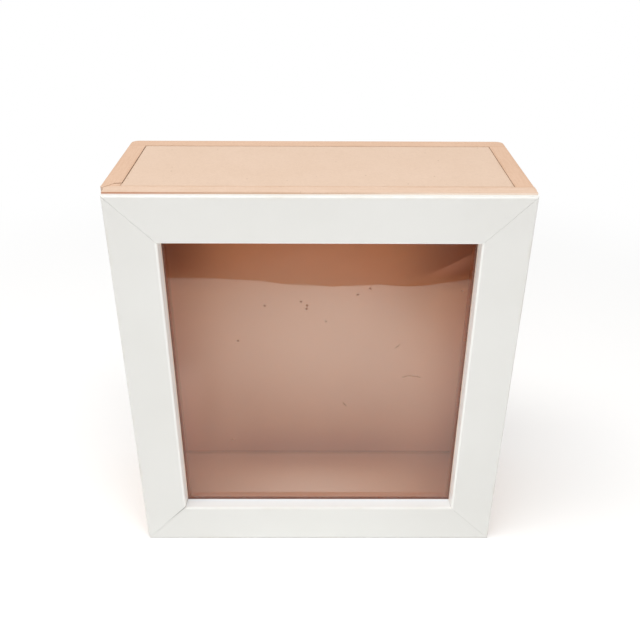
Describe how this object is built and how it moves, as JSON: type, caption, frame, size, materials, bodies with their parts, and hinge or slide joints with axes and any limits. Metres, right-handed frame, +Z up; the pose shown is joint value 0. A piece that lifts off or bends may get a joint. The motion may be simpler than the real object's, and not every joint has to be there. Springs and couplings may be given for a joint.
{
  "type": "display case",
  "caption": "Deep square display case of raw fibreboard with a white mitred front frame, a clear pane and a lift-out top panel.",
  "frame": {"origin": "bottom centre of the whole case, on the surface that the case stands on", "axes": "+X to the right as seen from the front, +Y from the front to the back, +Z up"},
  "size_m": [0.2026, 0.087, 0.2128],
  "materials": {
    "white_foil": "fibreboard moulding wrapped in satin white foil",
    "raw_board": "raw sanded medium density fibreboard",
    "clear_sheet": "thin clear glossy sheet, gently wavy",
    "steel": "bright wire and plate"
  },
  "bodies": {
    "case": {"frame_rail_top": "white_foil", "frame_rail_bottom": "white_foil", "frame_rail_left": "white_foil", "frame_rail_right": "white_foil", "frame_v_nails": "steel", "window_pane": "clear_sheet", "rim_top": "raw_board", "rim_bottom": "raw_board", "rim_left": "raw_board", "rim_right": "raw_board", "rim_brads": "steel", "side_board_left": "raw_board", "side_board_right": "raw_board", "bottom_board": "raw_board", "back_board": "raw_board", "back_brads": "steel", "side_brads": "steel", "back_liner": "raw_board", "side_liner_left": "raw_board", "side_liner_right": "raw_board", "sawtooth_hanger": "steel", "hanger_nails": "steel"},
    "top_panel": {"lift_out_top": "raw_board"}
  },
  "joints": [
    {"name": "top_lift", "type": "slide", "parent": "case", "child": "top_panel", "axis": [0, 0, 1], "range_m": [0, 0.04]}
  ]
}
